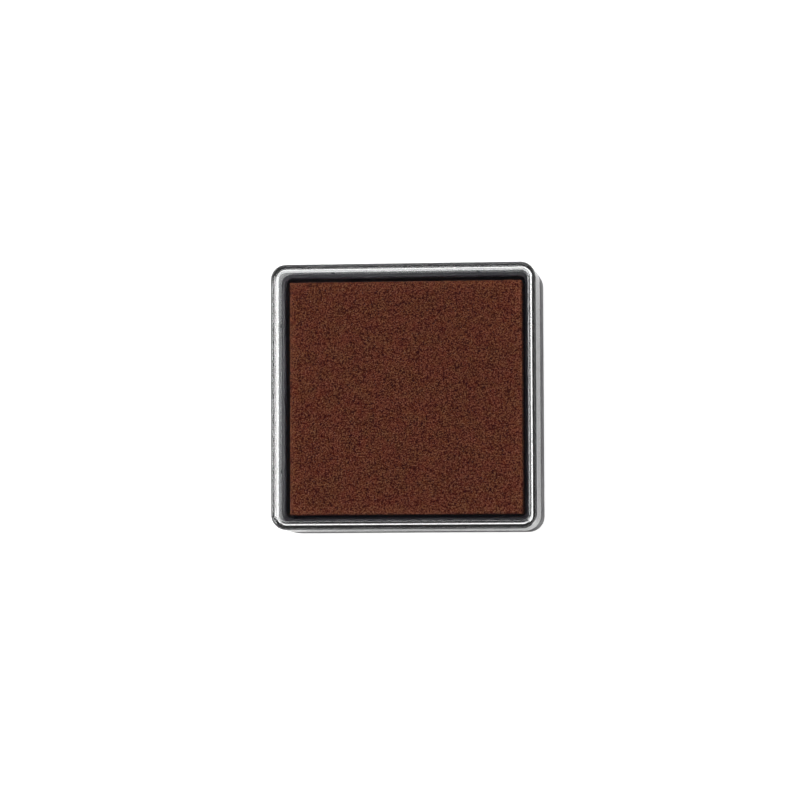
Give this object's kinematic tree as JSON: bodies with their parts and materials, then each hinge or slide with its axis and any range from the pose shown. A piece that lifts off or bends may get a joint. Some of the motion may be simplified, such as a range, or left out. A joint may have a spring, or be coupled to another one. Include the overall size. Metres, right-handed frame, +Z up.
{
  "type": "ink pad",
  "caption": "Square ink pad: a black moulded tray with a raised rim holds brown ink-soaked foam over a felt reservoir, under a clear cap that lifts straight off.",
  "frame": {"origin": "middle of the footprint, on the surface that the tray stands on", "axes": "+Z up, out through the lid's top; +X to the right and +Y to the back, square to the sides"},
  "size_m": [0.04, 0.04, 0.018],
  "materials": {
    "black_plastic": "glossy moulded polystyrene, with a finer satin texture on the underside",
    "clear_plastic": "clear, colourless, polished moulded polystyrene with light scuffs",
    "inked_foam": "fine open-pored foam, soaked with brown ink",
    "inked_felt": "needled felt, soaked with brown ink",
    "adhesive_film": "thin translucent double-sided adhesive film",
    "label_paper": "uncoated label paper with a plain brown colour dot"
  },
  "bodies": {
    "tray": {"base_tray": "black_plastic", "adhesive_sheet": "adhesive_film", "reservoir_felt": "inked_felt", "foam_pad": "inked_foam", "underside_label": "label_paper"},
    "lid": {"lid": "clear_plastic"}
  },
  "joints": [
    {"name": "lid_lift", "type": "slide", "parent": "tray", "child": "lid", "axis": [0, 0, 1], "range_m": [0, 0.03]}
  ]
}
